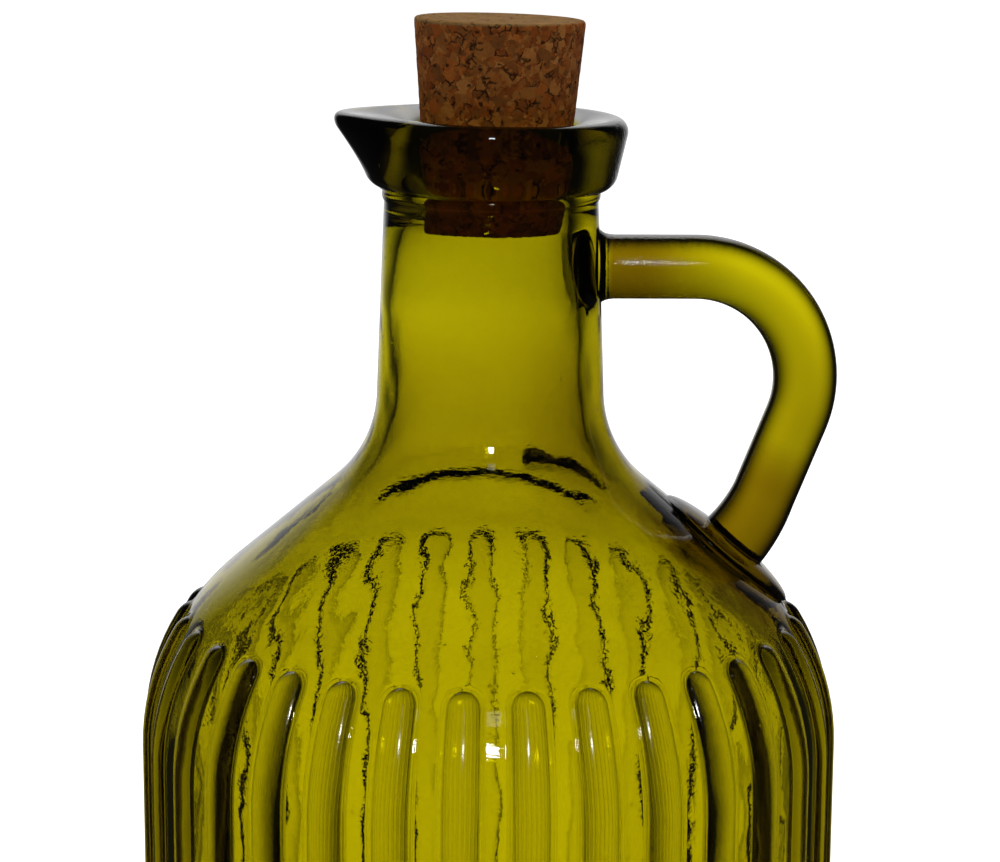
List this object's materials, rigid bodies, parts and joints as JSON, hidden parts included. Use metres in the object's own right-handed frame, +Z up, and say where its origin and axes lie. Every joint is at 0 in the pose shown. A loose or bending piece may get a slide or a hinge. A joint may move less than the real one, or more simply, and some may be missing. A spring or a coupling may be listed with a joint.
{
  "type": "oil cruet",
  "caption": "Ribbed green glass oil bottle with a flared pouring lip, a solid glass loop handle and a tapered cork stopper, standing empty.",
  "frame": {"origin": "middle of the flat base, on the surface that the cruet stands on", "axes": "+Z up along the axis of the bottle, +X towards the handle, -X towards the spout"},
  "size_m": [0.1, 0.0999, 0.198],
  "materials": {
    "glass": "clear olive green moulded glass, smooth and glossy outside, slightly wavy inside",
    "cork": "granulated cork pressed from coarse brown grains, matt and pitted"
  },
  "bodies": {
    "root": {"bottle": "glass", "cork": "cork"}
  },
  "joints": []
}
